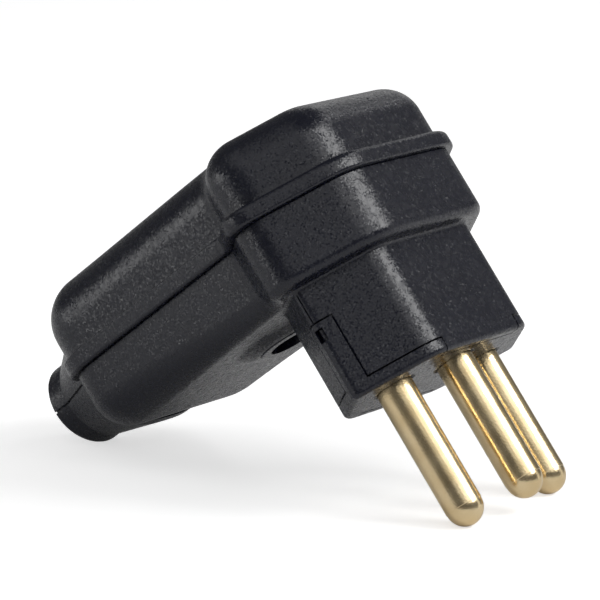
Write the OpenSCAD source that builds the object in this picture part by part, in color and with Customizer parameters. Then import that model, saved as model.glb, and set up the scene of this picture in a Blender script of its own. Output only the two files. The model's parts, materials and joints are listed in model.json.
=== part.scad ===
// Right-angle rewireable plug with three round pins: two shells, a snap-in pin carrier,
// three solid pins with screw terminals, a cord clamp and one housing screw.
// Worked out with the pins pointing down and the handle along +Y, then laid down to rest
// on its two outer pins and the end of its cable collar.

/* [Pins] */
// Distance between the two outer pins
pin_pitch = 19; // [17:0.5:20]
// How far the earth pin stands off the line of the outer pins
earth_offset = 3; // [2:0.25:3.5]
// Diameter of each pin
pin_d = 4.8; // [4:0.1:5]
// Length of each pin below the plug face
pin_length = 19; // [15:0.5:24]
// Diameter of the flange that holds a pin in
flange_d = 7.6; // [7.2:0.1:7.8]
// Thickness of that flange
flange_t = 1.2; // [0.8:0.1:1.6]
// Diameter of a terminal head
terminal_d = 6.2; // [5.6:0.1:6.4]
// Height of a terminal head above the flange
terminal_h = 11; // [9:0.5:13]
// Diameter of the wire hole through a terminal head
wire_hole_d = 3.4; // [2.4:0.2:3.6]
// Diameter of a terminal screw
terminal_screw_d = 3.4; // [2.6:0.2:3.8]
// Length of a terminal screw
terminal_screw_l = 4.5; // [3.5:0.5:5]

/* [Nose] */
// Half the width of the nose from point to point
nose_point = 17.75; // [17.25:0.25:19]
// Half the depth of the nose between its long sides
nose_half = 8.5; // [8.3:0.1:9.5]
// Height of the nose from the plug face to the shoulder
nose_h = 15; // [13:0.5:18]
// Wall of the nose
nose_wall = 1.4; // [1.2:0.1:1.5]
// Rounding of the nose's long edges
nose_r = 2.2; // [1:0.2:3]
// Rounding of the nose's points
nose_point_r = 1; // [0.6:0.1:1.4]

/* [Pin carrier] */
// Thickness of the carrier's plate
plate_t = 3; // [2.4:0.2:4]
// Height of the carrier's rim along the slanted sides
rim_h = 1.65; // [1.2:0.1:2]
// Distance of each end of the rim from the middle
rim_start = 7.9; // [6.5:0.2:8.2]
// Height of the snap tabs at the points
tab_h = 10.2; // [8:0.4:12]
// Width of a snap tab along each slanted side
tab_w = 2.4; // [2:0.1:3]
// Thickness of a snap tab
tab_t = 1.2; // [0.9:0.1:1.4]
// Height of the window in a snap tab
window_h = 1.7; // [1.2:0.1:2.4]
// Width of the window in a snap tab
window_w = 1.3; // [1:0.1:1.6]
// Gap between the carrier and the shell
slit = 0.15; // [0.1:0.05:0.25]

/* [Shells] */
// How far the lower shell's head stands out beyond the nose
head_out = 2.75; // [2.4:0.05:3.2]
// How far the lip stands out beyond the nose
lip_out = 3.7; // [3.4:0.05:4.2]
// How far the dome stands out beyond the nose
dome_out = 2.4; // [2.2:0.05:3]
// Height of the lower shell from shoulder to parting line
lower_h = 9; // [8.6:0.2:11]
// Height of the upper shell from parting line to top
upper_h = 11.1; // [10.5:0.2:13]
// Height of the lip
lip_h = 2.2; // [1.6:0.1:2.6]
// Half width of the lower shell's handle
handle_half = 15.3; // [14.6:0.1:15.8]
// How much wider the lip is than the lower handle, on each side
lip_step = 1; // [0.6:0.1:1.4]
// How much wider the upper handle is than the lower handle, on each side
upper_step = 0.7; // [0.3:0.1:0.9]
// Distance from the pins to the end of the handle
handle_end = 39.5; // [37:0.5:46]
// Wall of both shells
wall = 2.2; // [2:0.1:2.4]
// Rounding of the dome's top edge
dome_edge = 4.9; // [3:0.1:5]
// Rounding of the handle's top edge
handle_edge = 6; // [4:0.2:6.2]
// Rounding of the handle's bottom edge at the neck
neck_edge = 2.8; // [1.6:0.2:3.6]
// Rounding of the handle's bottom edge at its end
end_edge = 5; // [3:0.2:5.6]
// Rounding of the shoulder's edge
shoulder_edge = 0.6; // [0.3:0.1:0.8]

/* [Cable entry] */
// Diameter of the collar at its open end
collar_d = 11.6; // [11:0.2:13]
// Length of the collar beyond the handle
collar_l = 10.8; // [8:0.4:14]
// Width of the collar where it leaves the handle
collar_root_w = 19.6; // [16:0.4:22]
// Height of the collar where it leaves the handle
collar_root_h = 15.6; // [13:0.4:16]
// Rounding of the collar's open end
collar_edge = 1.1; // [0.6:0.1:1.1]
// Diameter of the cable bore
cable_d = 8.8; // [6:0.2:9]

/* [Housing screw] */
// Distance of the housing screw from the line of the outer pins
screw_y = 16.1; // [15.6:0.1:17]
// Diameter of the housing screw
screw_d = 3.4; // [2.8:0.2:3.6]
// Length of the housing screw under its head
screw_l = 11.5; // [9:0.5:12]
// Diameter of the housing screw's head
screw_head_d = 5.8; // [5:0.2:6]
// Height of the housing screw's head
screw_head_h = 2.3; // [1.8:0.1:2.6]
// Diameter of the well over the screw head
well_d = 6.3; // [6.2:0.1:7]
// Depth of the well from the face of its boss
well_depth = 5; // [4:0.2:6]
// Diameter of the boss's face
boss_d = 9.2; // [8.4:0.2:10]
// Diameter of the boss where it leaves the underside
boss_root_d = 15; // [13:0.5:15]
// Height of the boss below the underside
boss_h = 1.1; // [0.6:0.1:1.6]

/* [Cord clamp] */
// Distance of the clamp from the line of the outer pins
clamp_y = 30; // [28:0.5:31]
// Width of the clamp along the cable
clamp_w = 5; // [4:0.5:6]
// Length of the clamp across the cable
clamp_l = 22; // [21:0.5:23]
// Thickness of the clamp over the cable
clamp_t = 1.6; // [1.2:0.1:2]
// Distance between the two clamp screws
clamp_pitch = 16.4; // [15.8:0.2:17]
// Diameter of a clamp screw
clamp_screw_d = 3; // [2.6:0.1:3]
// Length of a clamp screw under its head
clamp_screw_l = 10; // [8:0.5:11]
// Diameter of a clamp screw's head
clamp_head_d = 5.4; // [4.8:0.2:5.6]
// Height of a clamp screw's head
clamp_head_h = 1.9; // [1.5:0.1:2]

/* [Hidden] */

black = "#202226";
brass_tone = "#c9a455";
steel_tone = "#b9bcc0";

eps = 0.01;
fit = 0.05;                  // clearance of a pin or screw in its bore
loose = 0.2;                 // clearance of a screw in a plain hole
arc_n = 6;                   // steps in a rounded corner of an outline
edge_n = 5;                  // steps in a rolled edge
bore_fn = 64;

slant = sqrt(2);             // the pointed ends have 45 degree sides
shoulder_z = nose_h;
part_z = shoulder_z + lower_h;
top_z = part_z + upper_h;
line_at = [-pin_pitch / 2, 0];
neutral_at = [pin_pitch / 2, 0];
earth_at = [0, -earth_offset];
pin_places = [line_at, neutral_at, earth_at];
pin_r = pin_d / 2;
seat_r = pin_r + 0.2;        // the pin is thicker where it sits in the carrier
terminal_top = plate_t + flange_t + terminal_h;
web_z = plate_t + flange_t + 2 * fit;   // underside of the web that holds the flanges down
web_t = 2;
collar_r = collar_d / 2;
collar_end = handle_end + collar_l;
cable_r = cable_d / 2;
well_top = shoulder_z - boss_h + well_depth;
boss_wall = 1.9;
end_wall = 1;                // more wall beside the groove and behind the collar
inner_edge = 0.4;            // smallest rounding inside a shell
flare_share = 0.62;          // share of the collar's length that flares
flare_power = 1.4;
flare_n = 5;
collar_n = 36;
clamp_z = part_z + 1;        // where the clamp sits on its saddle
window_margin = 0.7;         // from the window to the end of its tab
window_z = tab_h - window_h - window_margin;
catch_inset = 0.5;           // from a catch to the nose's surface
tongue_h = 1;
tongue_t = 0.9;
fuller = 0.35;               // extra rounding of the tongue
tongue_out = 1;              // how far the tongue's inner face stands out beyond the nose
tongue_end = clamp_y + clamp_w / 2 + 1;   // it stops short of the cable entry
point_wall = 3.85;           // wall of the nose behind its points
hollow_half = nose_point - point_wall;
hollow_r = 0.6;
hollow_side_r = 0.8;
tab_x = nose_point - tab_w / slant;
wire_drop = 6;               // from the top of a terminal head to its wire hole
wire_z = terminal_top - wire_drop;
screw_bite = 0.4;            // how far a terminal screw reaches into its wire hole
terminal_screw_z = wire_z + wire_hole_d / 2 - screw_bite;
hole_spare = 0.5;            // room past the end of a clamp screw
clamp_hole_z = part_z + cable_r + clamp_t - clamp_screw_l - hole_spare;

// Plan roundings at the points, the long sides, the neck and the handle's end.
dome_radii = [5.1, 5.1, 3, 6.3];
head_radii = [3.8, 4.5, 3, 6];
lip_radii = [3.2, 4.8, 2.6, 6.6];

// Rolled edges of the head, the neck and the handle's end.
neck_top_edge = 5.4;
dome_edges = [dome_edge, neck_top_edge, handle_edge];
lower_edges = [shoulder_edge, neck_edge, end_edge];
lip_edges = [0.35, 0.35, 0.35];
plain_edges = [0, 0, 0];
dome_back = 0.2;             // how far the dome's end stays behind the lower handle's
lip_back = 0.3;              // how far the lip stands out less there

// The tilt at rest: the floor touches the round pin tips and the collar's rounded end.
tip_at = [0, pin_r - pin_length];
rest_at = [collar_end - collar_edge, part_z - collar_r + collar_edge];
reach = norm(rest_at - tip_at);
rest_tilt = atan2(rest_at[1] - tip_at[1], rest_at[0] - tip_at[0])
    - asin((collar_edge - pin_r) / reach);
rest_lift = pin_r - cos(rest_tilt) * tip_at[1];
front_y = sin(rest_tilt) * tip_at[1] - cos(rest_tilt) * earth_offset - pin_r;
back_y = cos(rest_tilt) * (collar_end - collar_edge)
    + sin(rest_tilt) * (part_z + collar_r - collar_edge) + collar_edge;
rest_shift = -(front_y + back_y) / 2;

function unit(v) = v / norm(v);
function angle_of(v) = atan2(v[1], v[0]);
function flip(list) = [for (i = [len(list) - 1:-1:0]) list[i]];
function turn(a, b) = atan2(a[0] * b[1] - a[1] * b[0], a * b);

// The six-sided nose, and the same outline grown by a distance.
function point_x(out) = nose_point + slant * out;
function side_x(out) = nose_point - nose_half + (slant - 1) * out;
function side_y(out) = nose_half + out;

// Corners as [place, rounding, rolled edge]: the nose alone, and head with handle.
function nose_corners(out, point_r, side_r) = [
    [[-point_x(out), 0], point_r, 0],
    [[-side_x(out), -side_y(out)], side_r, 0],
    [[side_x(out), -side_y(out)], side_r, 0],
    [[point_x(out), 0], point_r, 0],
    [[side_x(out), side_y(out)], side_r, 0],
    [[-side_x(out), side_y(out)], side_r, 0]
];
function body_corners(out, half, end, radii, edges) = [
    [[-point_x(out), 0], radii[0], edges[0]],
    [[-side_x(out), -side_y(out)], radii[1], edges[0]],
    [[side_x(out), -side_y(out)], radii[1], edges[0]],
    [[point_x(out), 0], radii[0], edges[0]],
    [[half, point_x(out) - half], radii[2], edges[1]],
    [[half, end], radii[3], edges[2]],
    [[-half, end], radii[3], edges[2]],
    [[-half, point_x(out) - half], radii[2], edges[1]]
];

// The roundings of an outline that is grown all round, and the edges inside a wall.
function grown(radii, out) = [radii[0] + out, radii[1] + out, radii[2] - out, radii[3] + out];
function inside(edges) = [for (edge = edges) max(inner_edge, edge - wall)];

// Each corner becomes an arc of [place, outward normal, rolled edge].
function corner_arc(a, b, c, r, edge) =
    let (u = unit(b - a), v = unit(c - b), bend = turn(u, v), side = sign(bend),
        n = [u[1], -u[0]], start = b - u * r * tan(abs(bend) / 2),
        middle = start - n * r * side, first = angle_of(n))
    [for (i = [0:arc_n]) let (t = first + bend * i / arc_n, m = [cos(t), sin(t)])
        [middle + m * r * side, m, edge]];
function outline(corners) = let (n = len(corners)) [
    for (i = [0:n - 1])
        for (p = corner_arc(corners[(i + n - 1) % n][0], corners[i][0],
                corners[(i + 1) % n][0], corners[i][1], corners[i][2])) p
];
function flat(corners) = [for (p = outline(corners)) p[0]];

// A ring of points at one height, and rings that roll an edge over to a flat top or bottom.
function ring_at(line, z) = [for (p = line) [p[0][0], p[0][1], z]];
function rolled(line, z, up) = [
    for (i = [0:edge_n]) let (a = 90 * i / edge_n)
        [for (p = line) let (q = p[0] - p[1] * p[2] * (1 - cos(a)))
            [q[0], q[1], z - up * p[2] * (1 - sin(a))]]
];

// A closed skin over rings that run upwards, with a fan from a middle point over each end.
module skin(rings, bottom_at, top_at) {
    n = len(rings[0]);
    last = len(rings) - 1;
    count = n * len(rings);
    points = concat([for (ring = rings) each ring], [bottom_at, top_at]);
    sides = [for (i = [0:last - 1], j = [0:n - 1]) let (k = (j + 1) % n)
        each [[i * n + j, (i + 1) * n + j, (i + 1) * n + k], [i * n + j, (i + 1) * n + k, i * n + k]]];
    bottom = [for (j = [0:n - 1]) [j, (j + 1) % n, count]];
    top = [for (j = [0:n - 1]) [last * n + (j + 1) % n, last * n + j, count + 1]];
    polyhedron(points = points, faces = concat(sides, bottom, top), convexity = 6);
}

module rest() translate([0, rest_shift, rest_lift]) rotate([-rest_tilt, 0, 0]) children();
module along_y(y, z) translate([0, y, z]) rotate([-90, 0, 0]) children();

// ---- shells ----

upper_half = handle_half + upper_step;
inner_end = handle_end - wall - end_wall;

upper_line = outline(body_corners(dome_out, upper_half, handle_end - dome_back,
    dome_radii, dome_edges));
upper_cavity_line = outline(body_corners(dome_out - wall, upper_half - wall - end_wall, inner_end,
    grown(dome_radii, -wall), inside(dome_edges)));
lower_line = outline(body_corners(head_out, handle_half, handle_end, head_radii, lower_edges));
lower_cavity_line = outline(body_corners(head_out - wall, handle_half - wall, inner_end,
    grown(head_radii, -wall), inside(lower_edges)));
lip_line = outline(body_corners(lip_out, handle_half + lip_step, handle_end + lip_step - lip_back,
    lip_radii, lip_edges));

// Each shell is one skin, which runs over its outside, across its rim and down its inside.
upper_rings = concat(
    flip(rolled(upper_cavity_line, top_z - wall, 1)), [ring_at(upper_cavity_line, part_z)],
    [ring_at(lip_line, part_z)], rolled(lip_line, part_z + lip_h, 1),
    [ring_at(upper_line, part_z + lip_h)], rolled(upper_line, top_z, 1)
);
lower_rings = concat(
    flip(rolled(lower_line, shoulder_z, -1)), [ring_at(lower_line, part_z)],
    [ring_at(lower_cavity_line, part_z)], rolled(lower_cavity_line, shoulder_z + wall, -1)
);

// The collar's rings, from its wide root to its rounded end, along +Y.
module collar() {
    flare_l = collar_l * flare_share;
    flare = [for (i = [0:flare_n]) let (t = i / flare_n, k = pow(1 - t, flare_power)) [
        collar_r + (collar_root_w / 2 - collar_r) * k,
        collar_r + (collar_root_h / 2 - collar_r) * k,
        handle_end + flare_l * t]];
    root = [[flare[0][0], flare[0][1], handle_end - wall]];
    end = [for (i = [0:edge_n]) let (a = 90 * i / edge_n, r = collar_r - collar_edge * (1 - cos(a)))
        [r, r, collar_end - collar_edge * (1 - sin(a))]];
    rings = [for (s = concat(root, flare, end))
        [for (j = [0:collar_n - 1]) let (a = -360 * j / collar_n)
            [s[0] * cos(a), s[2], part_z + s[1] * sin(a)]]];
    skin(rings, [0, handle_end - wall, part_z], [0, collar_end, part_z]);
}
module half_collar(z, h) {
    intersection() {
        collar();
        translate([-handle_half, handle_end - wall, z])
            cube([2 * handle_half, collar_l + 2 * wall, h]);
    }
}

// The lower shell's outline, moved so that its head stands out by out beyond the nose. Its
// roundings are a little fuller, so that its corners fall clear of the shell's own.
module body_outline(out) {
    step = out - head_out;
    polygon(flat(body_corners(out, handle_half + step, handle_end + step,
        grown(head_radii, step + fuller), plain_edges)));
}

// A rib that follows the parting line up to a distance: the tongue, or the groove for it.
module tongue_ring(inner, outer, z, h, end) {
    translate([0, 0, z]) linear_extrude(h) intersection() {
        difference() {
            body_outline(outer);
            body_outline(inner);
        }
        translate([0, end - handle_end]) square([4 * nose_point, 2 * handle_end], center = true);
    }
}

module cable_bore() along_y(clamp_y - clamp_w, part_z)
    cylinder(r = cable_r, h = collar_end, $fn = bore_fn);

module upper_shell() color(black) rest() {
    difference() {
        union() {
            skin(upper_rings, [0, 0, top_z - wall], [0, 0, top_z]);
            half_collar(part_z, upper_h);
        }
        tongue_ring(tongue_out - slit, tongue_out + tongue_t + slit, part_z - eps,
            tongue_h + slit, tongue_end + slit);
        cable_bore();
    }
    difference() {
        translate([0, screw_y, part_z])
            cylinder(r = screw_d / 2 + boss_wall, h = upper_h - wall + eps, $fn = bore_fn);
        translate([0, screw_y, part_z - eps])
            cylinder(r = screw_d / 2 + fit, h = upper_h - wall, $fn = bore_fn);
    }
}

// ---- nose and carrier ----

// The inside of the nose: its points are cut off, so the wall is thick behind the tabs.
function hollow_corners(inset, half) =
    let (x = side_x(-inset), y = side_y(-inset), cut_y = point_x(-inset) - half) [
        [[-half, cut_y], hollow_r, 0], [[-half, -cut_y], hollow_r, 0],
        [[-x, -y], hollow_side_r, 0], [[x, -y], hollow_side_r, 0],
        [[half, -cut_y], hollow_r, 0], [[half, cut_y], hollow_r, 0],
        [[x, y], hollow_side_r, 0], [[-x, y], hollow_side_r, 0]
    ];

module nose_outline(out = 0) polygon(flat(nose_corners(out, nose_point_r, nose_r)));

// The two pointed ends of the nose's outline, from x outwards.
module nose_ends(x) {
    intersection() {
        nose_outline();
        for (side = [-1, 1])
            translate([side * (x + nose_point), 0]) square(2 * nose_point, center = true);
    }
}

// Both tabs, as a band that wraps each point of the nose.
module tab_bands(x, depth, z, h) {
    translate([0, 0, z]) linear_extrude(h) difference() {
        nose_ends(x);
        polygon([for (c = nose_corners(-depth, 0, 0)) c[0]]);
    }
}

module pin_carrier() color(black) rest() {
    difference() {
        union() {
            linear_extrude(plate_t) polygon(flat(hollow_corners(nose_wall + slit, hollow_half - slit)));
            linear_extrude(rim_h) nose_ends(rim_start + slit);
            tab_bands(tab_x, tab_t, 0, tab_h);
        }
        for (at = pin_places) translate([at[0], at[1], -eps])
            cylinder(r = seat_r + fit, h = plate_t + 2 * eps, $fn = bore_fn);
        translate([0, 0, window_z + window_h / 2])
            cube([4 * nose_point, window_w, window_h], center = true);
    }
}

// The shell's catches, which stand in the windows of the tabs.
module catches() {
    depth = tab_t + slit;
    translate([0, 0, window_z + slit]) linear_extrude(window_h - 2 * slit) intersection() {
        polygon([for (c = nose_corners(-catch_inset, 0, 0)) c[0]]);
        for (side = [-1, 1]) translate([side * (nose_point - depth), 0])
            square([2 * depth, window_w - 2 * slit], center = true);
    }
}

module lower_shell() color(black) rest() {
    difference() {
        union() {
            skin(lower_rings, [0, 0, shoulder_z], [0, 0, shoulder_z + wall]);
            linear_extrude(nose_h + wall / 2) nose_outline();
            translate([0, screw_y, shoulder_z - boss_h])
                cylinder(r1 = boss_d / 2, r2 = boss_root_d / 2, h = boss_h, $fn = bore_fn);
            half_collar(part_z - lower_h, lower_h);
            tongue_ring(tongue_out, tongue_out + tongue_t, part_z - eps, tongue_h + eps, tongue_end);
        }
        translate([0, 0, -eps]) linear_extrude(shoulder_z + wall + 2 * eps)
            polygon(flat(hollow_corners(nose_wall, hollow_half)));
        tab_bands(tab_x - slit, tab_t + slit, -eps, tab_h + slit);
        for (side = [-1, 1]) translate([side * (rim_start + nose_point), 0, 0])
            cube([2 * nose_point, 2 * nose_point, 2 * (rim_h + slit)], center = true);
        cable_bore();
        housing_screw_holes();
    }
    catches();
    pin_web();
    difference() {
        translate([0, screw_y, shoulder_z + eps])
            cylinder(r = well_d / 2 + boss_wall, h = lower_h - eps, $fn = bore_fn);
        housing_screw_holes();
    }
    saddle();
}

module housing_screw_holes() {
    translate([0, screw_y, shoulder_z - boss_h - eps])
        cylinder(r = well_d / 2, h = well_depth + eps, $fn = bore_fn);
    translate([0, screw_y, well_top - eps])
        cylinder(r = screw_d / 2 + loose, h = part_z - well_top + 2 * eps, $fn = bore_fn);
}

// The web across the nose, which holds the flanges of the pins down.
module pin_web() {
    difference() {
        translate([0, 0, web_z]) linear_extrude(web_t)
            polygon(flat(hollow_corners(nose_wall - eps, hollow_half + eps)));
        for (at = pin_places) translate([at[0], at[1], web_z - eps])
            cylinder(r = terminal_d / 2 + loose, h = web_t + 2 * eps, $fn = bore_fn);
    }
}

// The block under the cord clamp, with the holes for its screws.
module saddle() {
    difference() {
        translate([-clamp_l / 2, clamp_y - clamp_w / 2, shoulder_z + wall - eps])
            cube([clamp_l, clamp_w, clamp_z - shoulder_z - wall + eps]);
        cable_bore();
        for (side = [-1, 1]) translate([side * clamp_pitch / 2, clamp_y, clamp_hole_z])
            cylinder(r = clamp_screw_d / 2 + fit, h = clamp_z - clamp_hole_z + eps, $fn = bore_fn);
    }
}

// ---- pins and their screws ----

module pin(at) color(brass_tone) rest() translate([at[0], at[1], 0]) {
    bevel = 0.3;
    seat_taper = 0.15;       // where the pin starts to widen, below the plug face
    difference() {
        union() {
            translate([0, 0, pin_r - pin_length]) sphere(r = pin_r, $fn = bore_fn);
            rotate_extrude($fn = bore_fn) polygon([
                [0, pin_r - pin_length], [pin_r, pin_r - pin_length],
                [pin_r, -seat_taper], [seat_r, -seat_taper + seat_r - pin_r], [seat_r, plate_t + fit],
                [flange_d / 2, plate_t + fit], [flange_d / 2, plate_t + fit + flange_t],
                [terminal_d / 2, plate_t + fit + flange_t], [terminal_d / 2, terminal_top - bevel],
                [terminal_d / 2 - bevel, terminal_top], [0, terminal_top]
            ]);
        }
        translate([0, 0, wire_z]) rotate([90, 0, 0])
            cylinder(r = wire_hole_d / 2, h = terminal_d + 1, center = true, $fn = bore_fn);
        translate([0, 0, wire_z])
            cylinder(r = terminal_screw_d / 2 + fit, h = terminal_top - wire_z + eps, $fn = bore_fn);
    }
}
module line_pin() pin(line_at);
module neutral_pin() pin(neutral_at);
module earth_pin() pin(earth_at);

module terminal_screw(at) color(steel_tone) rest() translate([at[0], at[1], terminal_screw_z]) {
    slot_w = 0.7;
    slot_depth = 1;
    difference() {
        cylinder(r = terminal_screw_d / 2, h = terminal_screw_l, $fn = bore_fn);
        translate([0, 0, terminal_screw_l])
            cube([terminal_screw_d + 1, slot_w, 2 * slot_depth], center = true);
    }
}
module line_terminal_screw() terminal_screw(line_at);
module neutral_terminal_screw() terminal_screw(neutral_at);
module earth_terminal_screw() terminal_screw(earth_at);

// A pan-head screw with a cross recess, its head's seat at the origin and its shank along +Z.
module pan_screw(d, l, head_d, head_h) {
    recess_w = 0.8;
    recess_l = head_d * 0.55;
    edge = head_h * 0.45;
    cut = edge * 0.35;
    difference() {
        rotate_extrude($fn = bore_fn) polygon([
            [0, -head_h], [head_d / 2 - edge, -head_h], [head_d / 2 - cut, -head_h + cut],
            [head_d / 2, -head_h + edge], [head_d / 2, 0], [d / 2, 0],
            [d / 2, l - d / 2], [d / 6, l], [0, l]
        ]);
        for (a = [0, 90]) translate([0, 0, -head_h]) rotate([0, 0, a])
            cube([recess_l, recess_w, head_h], center = true);
    }
}

module housing_screw() color(steel_tone) rest() translate([0, screw_y, well_top])
    pan_screw(screw_d, screw_l, screw_head_d, screw_head_h);

// ---- cord clamp ----

module cord_clamp() color(black) rest() {
    h = cable_r - (clamp_z - part_z) + clamp_t;
    difference() {
        translate([-clamp_l / 2, clamp_y - clamp_w / 2, clamp_z]) cube([clamp_l, clamp_w, h]);
        cable_bore();
        for (side = [-1, 1]) translate([side * clamp_pitch / 2, clamp_y, clamp_z - eps])
            cylinder(r = clamp_screw_d / 2 + loose, h = h + 2 * eps, $fn = bore_fn);
    }
}
module clamp_screw(side) color(steel_tone) rest()
    translate([side * clamp_pitch / 2, clamp_y, part_z + cable_r + clamp_t]) rotate([180, 0, 0])
        pan_screw(clamp_screw_d, clamp_screw_l, clamp_head_d, clamp_head_h);
module left_clamp_screw() clamp_screw(-1);
module right_clamp_screw() clamp_screw(1);

upper_shell();
lower_shell();
pin_carrier();
line_pin();
neutral_pin();
earth_pin();
line_terminal_screw();
neutral_terminal_screw();
earth_terminal_screw();
housing_screw();
cord_clamp();
left_clamp_screw();
right_clamp_screw();
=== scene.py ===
import json
import math

import bpy
import numpy as np
from mathutils import Matrix, Vector


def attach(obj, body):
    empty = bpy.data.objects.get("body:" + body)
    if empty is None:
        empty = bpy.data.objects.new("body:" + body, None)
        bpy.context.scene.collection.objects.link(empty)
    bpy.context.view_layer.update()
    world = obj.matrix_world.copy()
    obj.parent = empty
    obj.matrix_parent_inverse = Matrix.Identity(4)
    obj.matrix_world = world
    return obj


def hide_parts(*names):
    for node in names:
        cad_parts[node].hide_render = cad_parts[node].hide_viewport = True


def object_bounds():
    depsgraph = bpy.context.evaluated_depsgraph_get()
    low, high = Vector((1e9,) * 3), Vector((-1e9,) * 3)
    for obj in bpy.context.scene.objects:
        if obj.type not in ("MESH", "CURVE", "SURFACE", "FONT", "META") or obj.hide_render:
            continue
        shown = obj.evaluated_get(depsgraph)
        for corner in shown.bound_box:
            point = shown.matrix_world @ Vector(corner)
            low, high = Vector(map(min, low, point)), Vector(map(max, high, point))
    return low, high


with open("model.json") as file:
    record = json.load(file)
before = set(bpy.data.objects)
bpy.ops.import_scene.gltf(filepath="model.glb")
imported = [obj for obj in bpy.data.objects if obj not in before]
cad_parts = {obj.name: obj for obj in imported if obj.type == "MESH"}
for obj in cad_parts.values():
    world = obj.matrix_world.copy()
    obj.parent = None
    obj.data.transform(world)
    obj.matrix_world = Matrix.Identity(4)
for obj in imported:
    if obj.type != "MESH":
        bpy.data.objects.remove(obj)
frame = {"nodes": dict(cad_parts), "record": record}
cadLow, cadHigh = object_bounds()
print("loaded", len(frame["nodes"]), "construction nodes")

# The plug's own axes: pins point down, the handle runs along its y, all in millimetres.
mounts = {mount["name"]: mount for mount in frame["record"]["mounts"]}


def mountPlace(name):
    return np.array(mounts[name]["pos_m"]) * 1000


pinDown = np.array(mounts["plug_face"]["axis"])
outerMiddle = (mountPlace("line_contact") + mountPlace("neutral_contact")) / 2
plugOrigin = outerMiddle - pinDown * np.dot(outerMiddle - mountPlace("plug_face"), pinDown)
plugX = mountPlace("neutral_contact") - mountPlace("line_contact")
pinPitch = np.linalg.norm(plugX)
plugX = plugX / pinPitch
plugY = np.cross(-pinDown, plugX)
plugAxes = np.array([plugX, plugY, -pinDown])
earthOffset = -np.dot(mountPlace("earth_contact") - outerMiddle, plugY)
pinRadius = mounts["line_contact"]["dims"]["r_mm"]
cableRadius = mounts["cable_entry"]["dims"]["r_mm"]
overlap = 1                 # how far a part reaches into what it joins, or a cutter past what it cuts
beyondX, beyondY = 30, 20   # further out than anything on the nose


# Plug millimetres to metres in the shared frame: origin + x*plugX + y*plugY + z*up.
def toRow(points):
    return (np.asarray(points) @ plugAxes + plugOrigin) / 1000


def addPiece(name, vertices, faces):
    mesh = bpy.data.meshes.new(name)
    mesh.from_pydata(vertices, [], faces)
    mesh.update()
    piece = bpy.data.objects.new(name, mesh)
    bpy.context.scene.collection.objects.link(piece)
    return piece


# A closed skin: ring i joins ring i+1 by quads, and a fan from a middle point closes each end.
def skinPiece(name, rings, ends=None):
    rings = np.asarray(rings, float)
    ringCount, around = rings.shape[:2]
    if ends is None:
        ends = [rings[0].mean(0), rings[-1].mean(0)]
    vertices = toRow(np.vstack([rings.reshape(-1, 3), ends]))
    i, j = np.meshgrid(np.arange(ringCount - 1), np.arange(around), indexing="ij")
    k = (j + 1) % around
    quads = np.stack([i * around + j, i * around + k, (i + 1) * around + k, (i + 1) * around + j], -1)
    j = np.arange(around)
    k = (j + 1) % around
    total = ringCount * around
    low = np.stack([k, j, np.full(around, total)], -1)
    high = np.stack([total - around + j, total - around + k, np.full(around, total + 1)], -1)
    return addPiece(name, vertices, quads.reshape(-1, 4).tolist() + low.tolist() + high.tolist())


# A turned form: each (radius, height) of the profile becomes a ring about the plug's z at place.
def lathePiece(name, profile, place, steps=72):
    profile, place = np.asarray(profile, float), np.array(place, float)
    angle = np.arange(steps) * 2 * math.pi / steps
    circle = np.stack([np.cos(angle), np.sin(angle), np.zeros(steps)], -1)
    rings = circle[None] * profile[:, 0, None, None]
    rings[:, :, 2] += profile[:, 1, None]
    ends = [place + (0, 0, profile[0, 1]), place + (0, 0, profile[-1, 1])]
    return skinPiece(name, rings + place, ends)


# A straight prism over an outline of (x, y), between two heights.
def prismPiece(name, outline, low, high):
    outline = np.asarray(outline, float)
    rings = [np.column_stack([outline, np.full(len(outline), z)]) for z in (low, high)]
    count = len(outline)
    j = np.arange(count)
    k = (j + 1) % count
    sides = np.stack([j, k, k + count, j + count], -1).tolist()
    return addPiece(name, toRow(np.vstack(rings)), sides + [j[::-1].tolist(), (j + count).tolist()])


def boxPiece(name, low, high):
    x0, y0, z0 = low
    x1, y1, z1 = high
    return prismPiece(name, [(x0, y0), (x1, y0), (x1, y1), (x0, y1)], z0, z1)


# Applies what modifiers the piece has, so that only its mesh stays.
def settle(piece):
    graph = bpy.context.evaluated_depsgraph_get()
    done = bpy.data.meshes.new_from_object(piece.evaluated_get(graph))
    before = piece.data
    piece.modifiers.clear()
    piece.data = done
    bpy.data.meshes.remove(before)
    done.name = piece.name


def combine(piece, tools, operation):
    for tool in tools:
        step = piece.modifiers.new(operation.lower(), "BOOLEAN")
        step.operation = operation
        step.solver = "MANIFOLD"
        step.object = tool
    settle(piece)
    for tool in tools:
        bpy.data.objects.remove(tool)


# A small bevel along the sharp edges, and points that fall together are made one.
def softenEdges(piece, width, segments=2, angle=38):
    step = piece.modifiers.new("edges", "BEVEL")
    step.width = width / 1000
    step.segments = segments
    step.limit_method = "ANGLE"
    step.angle_limit = math.radians(angle)
    step.use_clamp_overlap = True
    step.harden_normals = False
    weld = piece.modifiers.new("weld", "WELD")
    weld.merge_threshold = 0.000002     # in metres
    settle(piece)


# Large faces keep their own normal, so that a flat side stays flat up to its soft edges.
def smoothShade(piece, angle=30):
    piece.data.shade_smooth()
    piece.data.set_sharp_from_angle(angle=math.radians(angle))
    step = piece.modifiers.new("normals", "WEIGHTED_NORMAL")
    step.keep_sharp = True
    settle(piece)


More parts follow.
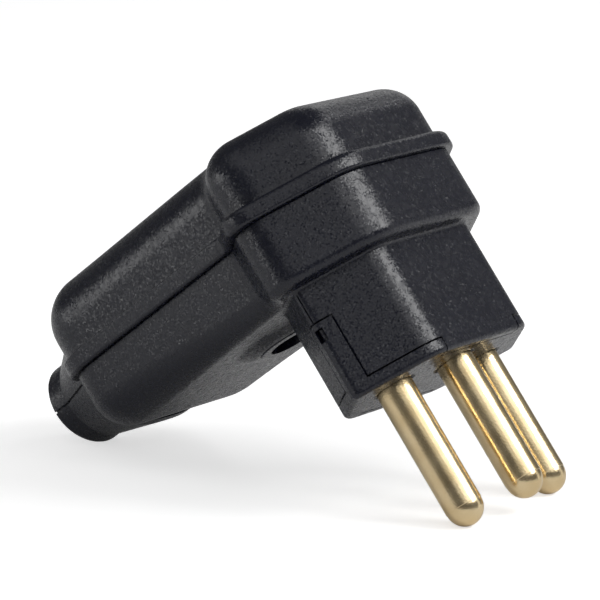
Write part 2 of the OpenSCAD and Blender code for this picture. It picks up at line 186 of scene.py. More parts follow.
nose = {
    "point": 17.75,         # half the width from point to point
    "half": 8.5,            # half the depth between the long sides
    "ridgeShift": 0.8,      # how much longer the long sides are than 45 degree ends would leave them
    "height": 15,
    "wall": 1.4,
    "sideRound": 4.5,
    "pointRound": 1,
    "foot": 0.5,            # fillet against the shoulder
    "rimRound": 0.6,        # rounding of the outer edge at the plug's face
}
slant = math.sqrt(2)        # the pointed ends have 45 degree sides
arcSteps = 20
sideSteps = 10


# Where the nose's points and long sides lie when its outline grows by out.
def pointX(out):
    return nose["point"] + slant * out


def sideX(out):
    return nose["point"] - nose["half"] + nose["ridgeShift"] + (slant - 1) * out


def sideY(out):
    return nose["half"] + out


# Each corner becomes an arc tangent to its two sides, and each side a row of even steps.
# Returns places, outward normals and the rolled edge's radius, which eases from corner to corner.
def roundOutline(corners, radii, edges, arc=arcSteps, side=sideSteps):
    corners, radii, edges = (np.asarray(a, float) for a in (corners, radii, edges))
    before = corners - np.roll(corners, 1, 0)
    after = np.roll(corners, -1, 0) - corners
    u = before / np.linalg.norm(before, axis=1, keepdims=True)
    v = after / np.linalg.norm(after, axis=1, keepdims=True)
    bend = np.arctan2(u[:, 0] * v[:, 1] - u[:, 1] * v[:, 0], (u * v).sum(1))
    outward = np.stack([u[:, 1], -u[:, 0]], -1)
    turnRadius = (radii * np.sign(bend))[:, None]
    middle = corners - u * (radii * np.tan(abs(bend) / 2))[:, None] - outward * turnRadius
    start = np.arctan2(outward[:, 1], outward[:, 0])[:, None]
    angle = start + bend[:, None] * np.linspace(0, 1, arc + 1)
    normal = np.stack([np.cos(angle), np.sin(angle)], -1)
    place = middle[:, None] + normal * turnRadius[:, None]
    t = np.linspace(0, 1, side + 1)[1:-1]
    ease = t * t * (3 - 2 * t)
    endPlace, endNormal = place[:, -1], normal[:, -1]
    nextPlace = np.roll(place[:, 0], -1, 0)
    sidePlace = endPlace[:, None] + (nextPlace - endPlace)[:, None] * t[None, :, None]
    sideNormal = np.repeat(endNormal[:, None], side - 1, 1)
    sideEdge = edges[:, None] + (np.roll(edges, -1) - edges)[:, None] * ease
    arcEdge = np.repeat(edges[:, None], arc + 1, 1)
    return {
        "place": np.concatenate([place, sidePlace], 1).reshape(-1, 2),
        "normal": np.concatenate([normal, sideNormal], 1).reshape(-1, 2),
        "edge": np.concatenate([arcEdge, sideEdge], 1).reshape(-1),
    }


def noseOutline(out, pointRound, sideRound, **steps):
    x, y = sideX(out), sideY(out)
    corners = [(-pointX(out), 0), (-x, -y), (x, -y), (pointX(out), 0), (x, y), (-x, y)]
    radii = [pointRound, sideRound, sideRound, pointRound, sideRound, sideRound]
    return roundOutline(corners, radii, [0] * 6, **steps)


# Head and handle in one outline: a six-sided head grown by out, and a handle up to end.
# radii and edges are for the points, the long sides, the neck and the handle's end.
def bodyOutline(out, half, end, radii, edges):
    x, y, tip = sideX(out), sideY(out), pointX(out)
    neck = tip - half
    corners = [(-tip, 0), (-x, -y), (x, -y), (tip, 0),
               (half, neck), (half, end), (-half, end), (-half, neck)]
    order = [0, 1, 1, 0, 2, 3, 3, 2]
    return roundOutline(corners, [radii[i] for i in order], [edges[i] for i in order])


# A ring at one height, moved inwards along the outline's normals.
def ringAt(line, height, inset=0):
    place = line["place"] - line["normal"] * np.reshape(inset, (-1, 1))
    return np.column_stack([place, np.full(len(place), height) if np.isscalar(height) else height])


# Rings of a quarter round: inset e(1-cos a) and drop e(1-sin a), as a goes from 0 to 90 degrees.
def rolledRings(line, height, up, steps=14):
    angle = np.linspace(0, math.pi / 2, steps)
    edge = line["edge"]
    return [ringAt(line, height - up * edge * (1 - math.sin(a)), edge * (1 - math.cos(a)))
            for a in angle]


shell = {
    "headOut": 2.75,        # how far the lower head, the lip and the dome stand out beyond the nose
    "lipOut": 3.7,
    "domeOut": 2.4,
    "lowerHeight": 9,       # from the shoulder to the parting line, and from there to the top
    "upperHeight": 11.1,
    "lipHeight": 2.2,
    "handleHalf": 15.3,     # half the lower handle's width; the lip and the upper handle are wider
    "lipStep": 1,
    "upperStep": 0.7,
    "handleEnd": 39.5,
    "wall": 2.2,
    "endWall": 1,           # more wall behind the collar
    "domeBack": 0.2,        # how far the dome's end stays behind the lower handle's
    "lipBack": 0.3,         # how far the lip stands out less there
    "domeRadii": [5.1, 7, 3, 6.3],      # in plan
    "headRadii": [3.8, 7.5, 3, 6],
    "lipRadii": [3.2, 8, 2.6, 6.6],
    "domeEdges": [4.9, 4.9, 5.4, 6],    # rolled over to the top or the underside
    "lowerEdges": [1.3, 1.3, 2.8, 5],
    "leastInnerEdge": 0.4,
    "lipEdge": 0.7,         # the lip's upper rounding
    "lipUnder": 0.4,        # its lower rounding
    "ledgeFillet": 0.25,    # where the dome rises from the lip
    "ledgeShares": (0.5, 0.4),          # most that the lip's rounding and the fillet take of the ledge
    "domeLevels": (0.3, 0.6),           # rings on the straight part of the dome's side
    "rimRound": 0.15,       # the lower shell's edge at the parting line
}
shoulderZ = nose["height"]
partZ = shoulderZ + shell["lowerHeight"]
topZ = partZ + shell["upperHeight"]
innerEnd = shell["handleEnd"] - shell["wall"] - shell["endWall"]


# The neck is an inside corner, so its radius falls as the others grow.
def grownRadii(radii, out):
    return [radii[0] + out, radii[1] + out, radii[2] - out, radii[3] + out]


def innerEdges(edges):
    return [max(shell["leastInnerEdge"], edge - shell["wall"]) for edge in edges]


wall = shell["wall"]
upperHalf = shell["handleHalf"] + shell["upperStep"]
domeLine = bodyOutline(shell["domeOut"], upperHalf, shell["handleEnd"] - shell["domeBack"],
                       shell["domeRadii"], shell["domeEdges"])
domeInside = bodyOutline(shell["domeOut"] - wall, upperHalf - wall - shell["endWall"], innerEnd,
                         grownRadii(shell["domeRadii"], -wall), innerEdges(shell["domeEdges"]))
lowerLine = bodyOutline(shell["headOut"], shell["handleHalf"], shell["handleEnd"],
                        shell["headRadii"], shell["lowerEdges"])
lowerInside = bodyOutline(shell["headOut"] - wall, shell["handleHalf"] - wall, innerEnd,
                          grownRadii(shell["headRadii"], -wall), innerEdges(shell["lowerEdges"]))
lipLine = bodyOutline(shell["lipOut"], shell["handleHalf"] + shell["lipStep"],
                      shell["handleEnd"] + shell["lipStep"] - shell["lipBack"],
                      shell["lipRadii"], [shell["lipEdge"]] * 4)


# Cosines and sines of a quarter turn.
def quarter(steps=6):
    angle = np.linspace(0, math.pi / 2, steps)
    return list(zip(np.cos(angle), np.sin(angle)))


# Inside first, from the ceiling to the rim, then the lip, its ledge, and the dome up to the top.
# The ledge's width is (lip - dome) . normal.
def upperRings():
    rings = rolledRings(domeInside, topZ - wall, 1)[::-1]
    rings.append(ringAt(domeInside, partZ))
    rim = shell["lipUnder"]
    rings += [ringAt(lipLine, partZ + rim * (1 - c), rim * (1 - s)) for c, s in quarter()]
    ledge = ((lipLine["place"] - domeLine["place"]) * domeLine["normal"]).sum(1)
    edgeShare, filletShare = shell["ledgeShares"]
    edge = np.minimum(shell["lipEdge"], ledge * edgeShare)
    lipTop = partZ + shell["lipHeight"]
    rings += [ringAt(lipLine, lipTop - edge * (1 - s), edge * (1 - c)) for c, s in quarter()]
    fillet = np.minimum(shell["ledgeFillet"], ledge * filletShare)
    rings += [ringAt(domeLine, lipTop + fillet * (1 - c), -fillet * (1 - s)) for c, s in quarter()]
    straight = topZ - domeLine["edge"].max() - lipTop
    rings += [ringAt(domeLine, lipTop + straight * t) for t in shell["domeLevels"]]
    return rings + rolledRings(domeLine, topZ, 1, 22)


# Outside first, from the underside up to the parting line, then down the inside.
def lowerRings():
    rings = rolledRings(lowerLine, shoulderZ, -1, 16)[::-1]
    rim = shell["rimRound"]
    rings += [ringAt(lowerLine, partZ - rim * (1 - s), rim * (1 - c)) for c, s in quarter()]
    return rings + [ringAt(lowerInside, partZ)] + rolledRings(lowerInside, shoulderZ + wall, -1)


collar = {
    "radius": 5.8,
    "length": 10.8,
    "rootWidth": 20.6,
    "upperHeight": 17.4,    # of the whole root, if both halves were alike
    "lowerHeight": 16.6,
    "edge": 0.4,            # rounding of the open end
    "restEdge": 1.1,        # at the underside, where the plug lies on it
    "flareShare": 0.76,     # share of the length that flares
    "widthPower": 0.85,
    "upperPower": 1.6,
    "lowerPower": 1.0,
    "rootSquare": 0.8,      # how much squarer than a round the root is
    "start": 1.2,           # how far it reaches into the handle
    "lineWidth": 0.16,      # the groove where the halves meet, its share on each half
    "lineDepth": 0.35,
}
collarEnd = shell["handleEnd"] + collar["length"]


# Half of the collar. Each half-width and height is radius + (root - radius) (1 - t^power) along the
# flare, and the section is |x/w|^n + |z/h|^n = 1, with n from 2 + rootSquare at the root to 2 at the
# round end. The end's edge is a quarter round, which grows to restEdge at the lowest line. The last
# two columns on each side step in for the groove where the halves meet.
def collarHalf(name, up, rootHeight, power):
    t = np.linspace(0, 1, 22)[:, None]
    angle = np.linspace(0, math.pi / 2, 6)[:, None]
    sweep = np.linspace(0, math.pi, 49)[None]
    level = sweep * 0
    radius = collar["radius"]
    widths = radius + (collar["rootWidth"] / 2 - radius) * (1 - t ** collar["widthPower"]) + level
    heights = radius + (rootHeight / 2 - radius) * (1 - t ** power) + level
    powers = 2 + collar["rootSquare"] * (1 - t)
    restEdge = collar["restEdge"] if up < 0 else collar["edge"]
    edge = collar["edge"] + np.sin(sweep) ** 2 * (restEdge - collar["edge"])
    ends = radius - edge * (1 - np.cos(angle))
    widths = np.concatenate([widths[:1], widths, ends])
    heights = np.concatenate([heights[:1], heights, ends])
    powers = np.concatenate([powers[:1], powers, angle * 0 + 2])
    along = np.concatenate([
        shell["handleEnd"] - collar["start"] + level,
        shell["handleEnd"] + collar["length"] * collar["flareShare"] * t + level,
        collarEnd - edge * (1 - np.sin(angle)),
    ])
    x = np.sign(np.cos(sweep)) * np.abs(np.cos(sweep)) ** (2 / powers) * widths
    z = np.maximum(np.sin(sweep), 0) ** (2 / powers) * heights
    z = np.maximum(z, collar["lineWidth"])
    side = widths[:, :1] - collar["lineDepth"]
    line = side * 0 + collar["lineWidth"]
    x = np.concatenate([side, side, x, -side, -side], 1)
    z = np.concatenate([line * 0, line, z, line, line * 0], 1)
    along = np.concatenate([along[:, :1]] * 2 + [along] + [along[:, -1:]] * 2, 1)
    rings = np.stack([x, along, partZ + up * z], -1)
    if up > 0:
        rings = rings[:, ::-1]
    return skinPiece(name, rings)


# A round bar along the plug's y.
def alongY(name, radius, y0, y1, z, steps=72):
    angle = np.arange(steps) * 2 * math.pi / steps
    circle = np.stack([np.cos(angle) * radius, np.zeros(steps), -np.sin(angle) * radius + z], -1)
    return skinPiece(name, [circle + (0, y0, 0), circle + (0, y1, 0)])


def cableBore():
    return alongY("bore", cableRadius, innerEnd - overlap, collarEnd + overlap, partZ)


def makeUpperShell():
    piece = skinPiece("upperShell", upperRings(), [(0, 0, topZ - wall), (0, 0, topZ)])
    combine(piece, [collarHalf("collarTop", 1, collar["upperHeight"], collar["upperPower"])], "UNION")
    combine(piece, [cableBore()], "DIFFERENCE")
    smoothShade(piece)
    return piece


screwWell = {
    "y": 16.1,
    "radius": 3.15,
    "depth": 5,
    "bossTop": 4.6,
    "bossRoot": 7.5,
    "bossHeight": 1.1,
    "holeRadius": 1.9,
    "holeLead": 0.1,        # how far the hole's cutter starts inside the well
    "bossWall": 1.9,
    "edge": 0.25,
    "edgeDepth": 0.15,      # the rounded rim is lower than it is wide
    "coneStart": 0.15,      # share of the cone that the rim takes
}


# From the boss's face up into the shell: a rounded rim, then a cone.
def bossProfile():
    radius, height = screwWell["bossTop"], screwWell["bossHeight"]
    z = shoulderZ - height
    slope = screwWell["bossRoot"] - radius
    edge, depth = screwWell["edge"], screwWell["edgeDepth"]
    rim = [(radius - edge * (1 - s), z + depth * (1 - c)) for c, s in quarter()]
    cone = [(radius + slope * t, z + height * t) for t in np.linspace(screwWell["coneStart"], 1, 6)]
    return rim + cone + [(screwWell["bossRoot"], shoulderZ + overlap)]


carrier = {
    "plate": 3,
    "rimHeight": 1.65,
    "rimStart": 7.9,        # from the middle to each end of the rim
    "tabHeight": 10.2,
    "tabWidth": 2.4,        # along each slanted side
    "tabThick": 1.2,
    "windowHeight": 1.7,
    "windowWidth": 1.3,
    "windowMargin": 0.7,    # from the window to the end of its tab
    "slit": 0.22,           # between the carrier and the shell
    "pointWall": 3.85,      # wall of the nose behind its points
    "hollowRound": 0.6,
    "hollowSideRound": 0.8,
    "hollowTop": 3,         # above the shoulder, past the wall there
    "catchInset": 0.5,      # from a catch to the nose's surface
    "catchGap": 0.1,        # from a catch to its window
    "catchRoot": 0.3,       # how far it reaches into the shell
    "pinHole": 2.66,
    "pinLead": 0.25,        # chamfer of a pin's hole at the face
    "grooveWidth": 0.2,     # the mould's line on the points
    "grooveDepth": 0.12,
    "grooveEnd": 0.2,       # it stops this far from the shoulder's fillet
    "edge": 0.12,
}
tabX = nose["point"] - carrier["tabWidth"] / slant
windowZ = carrier["tabHeight"] - carrier["windowHeight"] - carrier["windowMargin"]
hollowHalf = nose["point"] - carrier["pointWall"]


# The inside of the nose, with its points cut off.
def hollowOutline(inset, half):
    x, y, cut = sideX(-inset), sideY(-inset), pointX(-inset) - half
    corners = [(-half, cut), (-half, -cut), (-x, -y), (x, -y),
               (half, -cut), (half, cut), (x, y), (-x, y)]
    small, large = carrier["hollowRound"], carrier["hollowSideRound"]
    radii = [small, small, large, large, small, small, large, large]
    return roundOutline(corners, radii, [0] * 8, arc=6, side=1)["place"]


# The six-sided nose as a prism, grown by out: a quarter round of radius rim at its low end, and a
# flare by a quarter round of radius foot where it meets the shoulder.
def noseSkin(name, low, high, foot=0, rim=0, out=0):
    line = noseOutline(out, nose["pointRound"], nose["sideRound"], arc=10, side=1)
    rings = [ringAt(line, low)]
    if rim:
        rings = [ringAt(line, low + rim * (1 - c), rim * (1 - s)) for c, s in quarter(8)]
    if foot:
        flare = [(high - overlap - foot * (1 - s), -foot * (1 - c)) for c, s in quarter()]
        rings += [ringAt(line, *level) for level in flare]
    rings.append(ringAt(line, high, -foot))
    return skinPiece(name, rings, [(0, 0, low), (0, 0, high)])


# The two pointed ends of the nose from x outwards, as two prisms in one mesh.
def noseEnds(name, x, low, high, out=0):
    piece = noseSkin(name, low, high, rim=nose["rimRound"] if low == 0 else 0, out=out)
    middle = boxPiece("middle", (-x, -beyondY, low - overlap), (x, beyondY, high + overlap))
    combine(piece, [middle], "DIFFERENCE")
    return piece


# The same ends as a band of one depth under the nose's surface.
def tabBands(name, x, depth, low, high, out=0):
    piece = noseEnds(name, x, low, high, out)
    core = noseOutline(-depth, 0, 0, arc=1, side=1)["place"][::2]
    combine(piece, [prismPiece("core", core, low - overlap, high + overlap)], "DIFFERENCE")
    return piece


# A thin mould line down each point of the nose, above the tab.
def pointGrooves():
    low, high = carrier["tabHeight"], shoulderZ - nose["foot"] - carrier["grooveEnd"]
    half = carrier["grooveWidth"] / 2
    x = pointX(0) - (slant - 1) * nose["pointRound"] - carrier["grooveDepth"]
    return [boxPiece("groove", (start, -half, low), (end, half, high))
            for start, end in ((x, beyondX), (-beyondX, -x))]


# The catches of the shell, which stand in the windows of the tabs: pointed like the nose, but lower.
def catches():
    gap = carrier["catchGap"]
    half = carrier["windowWidth"] / 2 - gap
    tip = pointX(-carrier["catchInset"])
    low, high = windowZ + gap, windowZ + carrier["windowHeight"] - gap
    root = tabX - carrier["slit"] - carrier["catchRoot"]
    line = np.array([(root, -half), (tip - half, -half), (tip, 0), (tip - half, half), (root, half)])
    return [prismPiece("catch", line * side, low, high) for side in (1, -1)]


def noseHollow(low):
    high = shoulderZ + carrier["hollowTop"]
    return prismPiece("hollow", hollowOutline(nose["wall"], hollowHalf), low, high)


# The nose by itself: hollow, with the room for the carrier's rim and tabs, and the catches.
def makeNose():
    piece = noseSkin("noseSolid", 0, shoulderZ + overlap, nose["foot"], nose["rimRound"])
    slit, start = carrier["slit"], carrier["rimStart"]
    tabTop, rimTop = carrier["tabHeight"] + slit, carrier["rimHeight"] + slit
    combine(piece, [
        noseHollow(-overlap),
        tabBands("tabRoom", tabX - slit, carrier["tabThick"] + slit, -overlap, tabTop, out=overlap),
        boxPiece("rimRoomLeft", (-beyondX, -beyondY, -overlap), (-start, beyondY, rimTop)),
        boxPiece("rimRoomRight", (start, -beyondY, -overlap), (beyondX, beyondY, rimTop)),
        *pointGrooves(),
    ], "DIFFERENCE")
    combine(piece, catches(), "UNION")
    softenEdges(piece, carrier["edge"])
    return piece


# A straight round form about the housing screw.
def roundAtScrew(name, radius, low, high):
    return lathePiece(name, [(radius, low), (radius, high)], (0, screwWell["y"], 0))


def makeLowerShell():
    noseSolid = makeNose()
    piece = skinPiece("lowerShell", lowerRings(), [(0, 0, shoulderZ), (0, 0, shoulderZ + wall)])
    face = shoulderZ - screwWell["bossHeight"]
    wellTop = face + screwWell["depth"]
    tubeRadius = screwWell["radius"] + screwWell["bossWall"]
    combine(piece, [
        collarHalf("collarBottom", -1, collar["lowerHeight"], collar["lowerPower"]),
        lathePiece("boss", bossProfile(), (0, screwWell["y"], 0)),
        roundAtScrew("wellTube", tubeRadius, shoulderZ + overlap, partZ),
    ], "UNION")
    combine(piece, [
        noseHollow(shoulderZ - overlap),
        roundAtScrew("well", screwWell["radius"], face - overlap, wellTop),
        roundAtScrew("hole", screwWell["holeRadius"], wellTop - screwWell["holeLead"], partZ + overlap),
        cableBore(),
    ], "DIFFERENCE")
    combine(piece, [noseSolid], "UNION")
    smoothShade(piece)
    return piece


def makeCarrier():
    slit = carrier["slit"]
    outline = hollowOutline(nose["wall"] + slit, hollowHalf - slit)
    plate = prismPiece("pinCarrier", outline, 0, carrier["plate"])
    rim = noseEnds("rim", carrier["rimStart"] + slit, 0, carrier["rimHeight"])
    tabs = tabBands("tabs", tabX, carrier["tabThick"], 0, carrier["tabHeight"])
    combine(plate, [rim, tabs], "UNION")
    low, high = windowZ, windowZ + carrier["windowHeight"]
    half = carrier["windowWidth"] / 2
    hole, lead = carrier["pinHole"], carrier["pinLead"]
    pinHole = [(hole + lead + overlap, -overlap), (hole, lead), (hole, carrier["plate"] + overlap)]
    holes = [boxPiece("window", (-beyondX, -half, low), (beyondX, half, high))]
    holes += [lathePiece("pinHole", pinHole, (x, y, 0), 64) for x, y in pinPlaces]
    combine(plate, holes, "DIFFERENCE")
    softenEdges(plate, carrier["edge"])
    smoothShade(plate)
    return plate


pin = {
    "length": 19,
    "seatRadius": 2.6,      # the pin widens where it sits in the carrier
    "seatStart": 0.1,       # just inside the plug's face
    "tipStart": 0.02,       # angle at which the dome starts, in radians
    "tipInset": 0.06,       # the dome ends in a small step of this width
    "tipStep": 0.05,        # and this height
    "flangeRadius": 3.8,
    "flange": 1.2,
    "seat": 0.05,           # clearance between the flange and the plate
    "headRadius": 3.1,
    "headHeight": 11,
    "headBevel": 0.3,
    "wireDrop": 6,          # from the top of the head to its wire hole
    "wireRadius": 1.7,
    "wireReach": 4,         # half the length of the wire hole's cutter, past the head
    "screwRadius": 1.75,
    "sharpFrom": 40,        # edges sharper than this many degrees stay sharp
}
pinPlaces = [(-pinPitch / 2, 0), (pinPitch / 2, 0), (0, -earthOffset)]
headTop = carrier["plate"] + pin["flange"] + pin["headHeight"]


# A domed tip, a straight shank, the flange and the drilled head, from the tip upwards.
def pinProfile():
    angle = np.linspace(pin["tipStart"], math.pi / 2, 20)
    dome = pinRadius - pin["tipInset"]
    rows = [(dome * math.sin(a), -pin["length"] + pinRadius * (1 - math.cos(a))) for a in angle]
    base = carrier["plate"] + pin["seat"]
    widen = pin["seatRadius"] - pinRadius
    shankStart = pinRadius - pin["length"] + pin["tipStep"]
    rows += [(pinRadius, z) for z in np.linspace(shankStart, pin["seatStart"], 16)]
    rows += [(pin["seatRadius"], widen + pin["seatStart"]), (pin["seatRadius"], base)]
    rows += [(pin["flangeRadius"], base), (pin["flangeRadius"], base + pin["flange"])]
    rows += [(pin["headRadius"], base + pin["flange"]), (pin["headRadius"], headTop - pin["headBevel"])]
    return rows + [(pin["headRadius"] - pin["headBevel"], headTop)]


def makePin(name, place):
    x, y = place
    piece = lathePiece(name, pinProfile(), (x, y, 0), 96)
    wireZ = headTop - pin["wireDrop"]
    reach = pin["wireReach"]
    wire = alongY("wireHole", pin["wireRadius"], y - reach, y + reach, wireZ, 40)
    wire.data.transform(Matrix.Translation(Vector(toRow((x, 0, 0)) - toRow((0, 0, 0)))))
    screwHole = [(pin["screwRadius"], wireZ), (pin["screwRadius"], headTop + overlap)]
    combine(piece, [wire, lathePiece("screwHole", screwHole, (x, y, 0), 40)], "DIFFERENCE")
    smoothShade(piece, pin["sharpFrom"])
    return piece


def startMaterial(name):
    material = bpy.data.materials.new(name)
    material.use_nodes = True
    nodes = material.node_tree.nodes
    return material, nodes, material.node_tree.links, nodes["Principled BSDF"]


# Noise on Object coordinates; stretch gives its size along the object's x, y and z.
def noiseOn(nodes, links, scale, detail=1, stretch=None):
    where = nodes.new("ShaderNodeTexCoord").outputs["Object"]
    if stretch:
        mapping = nodes.new("ShaderNodeMapping")
        mapping.inputs["Rotation"].default_value = stretch["turn"]
        mapping.inputs["Scale"].default_value = stretch["scale"]
        links.new(where, mapping.inputs["Vector"])
        where = mapping.outputs["Vector"]
    noise = nodes.new("ShaderNodeTexNoise")
    noise.inputs["Scale"].default_value = scale
    noise.inputs["Detail"].default_value = detail
    links.new(where, noise.inputs["Vector"])
    return noise.outputs["Fac"]


# Maps a noise between the levels start and end to a number between low and high.
def between(nodes, links, noise, low, high, start=0.3, end=0.7):
    ramp = nodes.new("ShaderNodeMapRange")
    for name, value in zip(("From Min", "From Max", "To Min", "To Max"), (start, end, low, high)):
        ramp.inputs[name].default_value = value
    links.new(noise, ramp.inputs["Value"])
    return ramp.outputs["Result"]


# The same for two colours.
def colourBetween(nodes, links, noise, first, second, start=0.3, end=0.7):
    blend = nodes.new("ShaderNodeMix")
    blend.data_type = "RGBA"
    blend.inputs["A"].default_value = first
    blend.inputs["B"].default_value = second
    links.new(between(nodes, links, noise, 0, 1, start, end), blend.inputs["Factor"])
    return blend.outputs["Result"]


# Bumps of a depth in metres, over the normal that an earlier layer gives.
def bumpOn(nodes, links, height, depth, before=None):
    bump = nodes.new("ShaderNodeBump")
    bump.inputs["Distance"].default_value = depth
    links.new(height, bump.inputs["Height"])
    if before:
        links.new(before, bump.inputs["Normal"])
    return bump.outputs["Normal"]


plastic = {
    "colour": (0.0035, 0.0044, 0.0115, 1),
    "paleColour": (0.0050, 0.0061, 0.0140, 1),
    "roughness": (0.22, 0.32),
    "bending": 1.5,              # index of refraction
    "grainScale": 5000,          # the spark-eroded grain, per metre
    "patchScale": 1800,          # patches where the grain stands steeper
    "patchEdges": (0.35, 0.65),  # noise levels at which a patch starts and is full
    "grainLean": (0.25, 0.75),   # how far it leans the surface, from patch to patch
    "moundScale": 1400,
    "moundDepth": 0.00001,       # in metres
    "blotchScale": 160,
}


# Three noises of one size, one for each axis, lean the normal: n + lean (noise - 1/2), made a unit
# vector again, is an even grain with no direction.
def grainOn(nodes, links, scale, lean, before):
    where = nodes.new("ShaderNodeTexCoord").outputs["Object"]
    noise = nodes.new("ShaderNodeTexNoise")
    noise.inputs["Scale"].default_value = scale
    noise.inputs["Detail"].default_value = 0
    links.new(where, noise.inputs["Vector"])
    steps = [nodes.new("ShaderNodeVectorMath") for _ in range(4)]
    for step, operation in zip(steps, ("SUBTRACT", "SCALE", "ADD", "NORMALIZE")):
        step.operation = operation
    middle, sized, leaned, unit = steps
    middle.inputs[1].default_value = (0.5, 0.5, 0.5)
    links.new(noise.outputs["Color"], middle.inputs[0])
    links.new(middle.outputs[0], sized.inputs[0])
    links.new(lean, sized.inputs["Scale"])
    links.new(sized.outputs[0], leaned.inputs[0])
    links.new(before, leaned.inputs[1])
    links.new(leaned.outputs[0], unit.inputs[0])
    return unit.outputs[0]


# Spark-textured black moulding: a fine grain, steeper in patches, over low mounds,
# with faint changes of tone and gloss.
def blackPlastic():
    material, nodes, links, surface = startMaterial("blackPlastic")
    surface.inputs["IOR"].default_value = plastic["bending"]
    blotch = noiseOn(nodes, links, plastic["blotchScale"], 2)
    links.new(colourBetween(nodes, links, blotch, plastic["colour"], plastic["paleColour"]),
              surface.inputs["Base Color"])
    mounds = noiseOn(nodes, links, plastic["moundScale"], 1)
    links.new(between(nodes, links, mounds, *plastic["roughness"]), surface.inputs["Roughness"])
    patches = between(nodes, links, noiseOn(nodes, links, plastic["patchScale"], 0),
                      *plastic["grainLean"], *plastic["patchEdges"])
    normal = bumpOn(nodes, links, mounds, plastic["moundDepth"])
    links.new(grainOn(nodes, links, plastic["grainScale"], patches, normal), surface.inputs["Normal"])
    return material


brass = {
    "colour": (0.74, 0.57, 0.32, 1),
    "paleColour": (0.84, 0.68, 0.42, 1),
    "roughness": (0.15, 0.27),
    "toneScale": 350,
    "brushScale": 900,
    "brushStretch": 0.05,   # scale along the pin, as a share of that across it
    "brushDepth": 0.000006,
    "pitScale": 4200,
    "pitDepth": 0.000012,
}


# Drawn brass: fine lines along the pin, with small pits and a slightly uneven tone.
def drawnBrass():
    material, nodes, links, surface = startMaterial("drawnBrass")
    surface.inputs["Metallic"].default_value = 1
    tilt = math.atan2(pinDown[1], -pinDown[2])
    along = {"turn": (tilt, 0, 0), "scale": (1, 1, brass["brushStretch"])}
    lines = noiseOn(nodes, links, brass["brushScale"], 3, along)
    pits = noiseOn(nodes, links, brass["pitScale"], 1)
    tone = noiseOn(nodes, links, brass["toneScale"], 3)
    links.new(colourBetween(nodes, links, tone, brass["colour"], brass["paleColour"]),
              surface.inputs["Base Color"])
    links.new(between(nodes, links, lines, *brass["roughness"]), surface.inputs["Roughness"])
    normal = bumpOn(nodes, links, lines, brass["brushDepth"])
    links.new(bumpOn(nodes, links, pits, brass["pitDepth"], normal), surface.inputs["Normal"])
    return material


steel = {
    "colour": (0.55, 0.56, 0.58, 1),
    "paleColour": (0.68, 0.69, 0.70, 1),
    "roughness": (0.25, 0.45),
    "cloudScale": 700,
    "depth": 0.000008,
}


# Zinc plating: a cloudy tone and gloss over a faintly uneven surface.
def zincSteel():
    material, nodes, links, surface = startMaterial("zincSteel")
    surface.inputs["Metallic"].default_value = 1
    cloud = noiseOn(nodes, links, steel["cloudScale"], 4)
    links.new(colourBetween(nodes, links, cloud, steel["colour"], steel["paleColour"]),
              surface.inputs["Base Color"])
    links.new(between(nodes, links, cloud, *steel["roughness"]), surface.inputs["Roughness"])
    links.new(bumpOn(nodes, links, cloud, steel["depth"]), surface.inputs["Normal"])
    return material


plasticFinish, brassFinish, steelFinish = blackPlastic(), drawnBrass(), zincSteel()


def dress(piece, material):
    piece.data.materials.clear()
    piece.data.materials.append(material)


# A new piece stands for a construction node: it gets the finish it is given, hangs under the root body,
# and the node is hidden.
def standFor(piece, node, material):
    dress(piece, material)
    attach(piece, "root")
    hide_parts(node)


standFor(makeUpperShell(), "upper_shell", plasticFinish)
print("upper shell made")
standFor(makeLowerShell(), "lower_shell", plasticFinish)
print("lower shell made")
standFor(makeCarrier(), "pin_carrier", plasticFinish)
print("carrier made")
for name, place in zip(("line", "neutral", "earth"), pinPlaces):
    standFor(makePin(name + "Pin", place), name + "_pin", brassFinish)
print("pins made")

# The pieces inside keep their own shape and get a finish.
for name, node in frame["nodes"].items():
    if not node.hide_render:
        dress(node, plasticFinish if name == "cord_clamp" else steelFinish)
print("inner pieces dressed")

centre = (np.array(cadLow) + np.array(cadHigh)) / 2


studio = {
    # direction as (azimuth from +x, elevation) in degrees, distance, (width, height) in metres
    # and radiance
    "softboxes": {
        "keySoftbox": ((-66, 42), 0.7, (0.36, 0.28), 6.2),
        "keyWing": ((-99, 46), 0.7, (0.42, 0.36), 1.4),
        "backSoftbox": ((152, 56), 0.9, (0.7, 0.6), 0.5),
        "frontPanel": ((-148, 46), 0.9, (0.7, 0.5), 0.65),
        "sidePanel": ((136, 4), 0.35, (0.24, 0.09), 2.6),
        "rightPanel": ((-46, 12), 0.9, (0.3, 0.75), 0.6),
        "backPanel": ((25, 21), 0.9, (0.5, 0.42), 0.6),
        "sideWall": ((-4, 28), 0.95, (0.95, 0.42), 0.1),
        "sparkLamp": ((-12, 46), 0.9, (0.15, 0.15), 7.0),
    },
    "floorHalf": 6,         # half the floor's width in metres
    "paper": (0.86, 0.86, 0.86, 1),
    "paperRoughness": 0.9,
    "paperShine": 0.2,
    "glowSeen": 0.62,       # lifts the paper to white for the eye
    "glowReflected": 0.06,  # and a little in what metal and gloss mirror
    "low": 0.3,             # brightness of the room near the horizon
    "high": 0.13,           # and above
    "edge": (0.0, 0.2),     # the height over which one fades to the other
}


# A rectangular lamp whose power is radiance * pi * area.
def softbox(name, angles, distance, size, radiance):
    data = bpy.data.lights.new(name, "AREA")
    data.shape = "RECTANGLE"
    data.size, data.size_y = size
    data.energy = radiance * math.pi * size[0] * size[1]
    lamp = bpy.data.objects.new(name, data)
    azimuth, elevation = (math.radians(angle) for angle in angles)
    level = math.cos(elevation)
    towards = Vector((math.cos(azimuth) * level, math.sin(azimuth) * level, math.sin(elevation)))
    lamp.location = Vector(centre) + towards * distance
    lamp.rotation_euler = towards.to_track_quat("Z", "Y").to_euler()
    lamp.visible_camera = False
    bpy.context.scene.collection.objects.link(lamp)


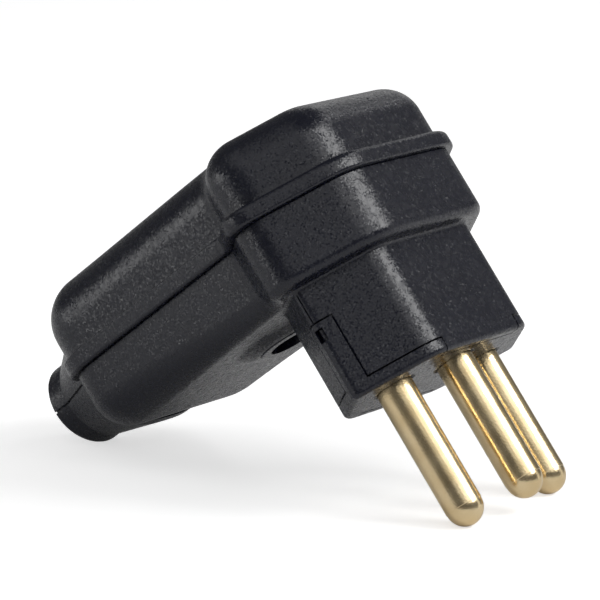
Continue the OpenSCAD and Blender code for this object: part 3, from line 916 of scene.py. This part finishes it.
# White paper whose glow is seen * camera ray + reflected * (glossy + transmission ray), so that it
# lights nothing.
def addFloor():
    half = studio["floorHalf"]
    corners = [(-half, -half, 0), (half, -half, 0), (half, half, 0), (-half, half, 0)]
    floor = addPiece("floor", corners, [(0, 1, 2, 3)])
    material, nodes, links, surface = startMaterial("paper")
    surface.inputs["Base Color"].default_value = studio["paper"]
    surface.inputs["Roughness"].default_value = studio["paperRoughness"]
    surface.inputs["Specular IOR Level"].default_value = studio["paperShine"]
    surface.inputs["Emission Color"].default_value = (1, 1, 1, 1)
    path = nodes.new("ShaderNodeLightPath")
    steps = [nodes.new("ShaderNodeMath") for _ in range(3)]
    for step, operation in zip(steps, ("ADD", "MULTIPLY", "MULTIPLY_ADD")):
        step.operation = operation
    bounced, reflected, glow = steps
    links.new(path.outputs["Is Glossy Ray"], bounced.inputs[0])
    links.new(path.outputs["Is Transmission Ray"], bounced.inputs[1])
    links.new(bounced.outputs[0], reflected.inputs[0])
    reflected.inputs[1].default_value = studio["glowReflected"]
    links.new(path.outputs["Is Camera Ray"], glow.inputs[0])
    glow.inputs[1].default_value = studio["glowSeen"]
    links.new(reflected.outputs[0], glow.inputs[2])
    links.new(glow.outputs[0], surface.inputs["Emission Strength"])
    floor.data.materials.append(material)


# A room with pale walls up to a height and a dim ceiling: brightness falls with the direction's z.
def addRoom():
    world = bpy.data.worlds.new("studio")
    bpy.context.scene.world = world
    world.use_nodes = True
    nodes, links = world.node_tree.nodes, world.node_tree.links
    where = nodes.new("ShaderNodeTexCoord")
    split = nodes.new("ShaderNodeSeparateXYZ")
    links.new(where.outputs["Generated"], split.inputs[0])
    ramp = nodes.new("ShaderNodeMapRange")
    ramp.interpolation_type = "SMOOTHSTEP"
    for name, value in zip(("From Min", "From Max", "To Min", "To Max"),
                           (*studio["edge"], studio["low"], studio["high"])):
        ramp.inputs[name].default_value = value
    links.new(split.outputs["Z"], ramp.inputs["Value"])
    links.new(ramp.outputs["Result"], nodes["Background"].inputs["Strength"])
    nodes["Background"].inputs["Color"].default_value = (1, 1, 1, 1)


addFloor()
for name, lamp in studio["softboxes"].items():
    softbox(name, *lamp)
addRoom()
print("studio set up")

cameraPlace = {
    "azimuth": 304.629,      # degrees, 0 looks along +y
    "elevation": 11.477,
    "roll": 0.228,
    "distance": 0.4735,      # metres
    "lens": 229.2,           # millimetres, as the sensor
    "sensor": 36,
    "aim": (0.0002, -0.0010, -0.0019),   # from the middle of the object's box
}


def addCamera():
    azimuth, elevation = math.radians(cameraPlace["azimuth"]), math.radians(cameraPlace["elevation"])
    level = math.cos(elevation)
    back = Vector((math.sin(azimuth) * level, -math.cos(azimuth) * level, math.sin(elevation)))
    data = bpy.data.cameras.new("camera")
    data.lens = cameraPlace["lens"]
    data.sensor_width = cameraPlace["sensor"]
    camera = bpy.data.objects.new("camera", data)
    camera.location = Vector(centre) + Vector(cameraPlace["aim"]) + back * cameraPlace["distance"]
    roll = Matrix.Rotation(math.radians(cameraPlace["roll"]), 3, "Z")
    turn = back.to_track_quat("Z", "Y").to_matrix() @ roll
    camera.rotation_euler = turn.to_euler()
    bpy.context.scene.collection.objects.link(camera)
    bpy.context.scene.camera = camera


addCamera()
bpy.context.scene.view_settings.view_transform = "Standard"

print("scene ready")
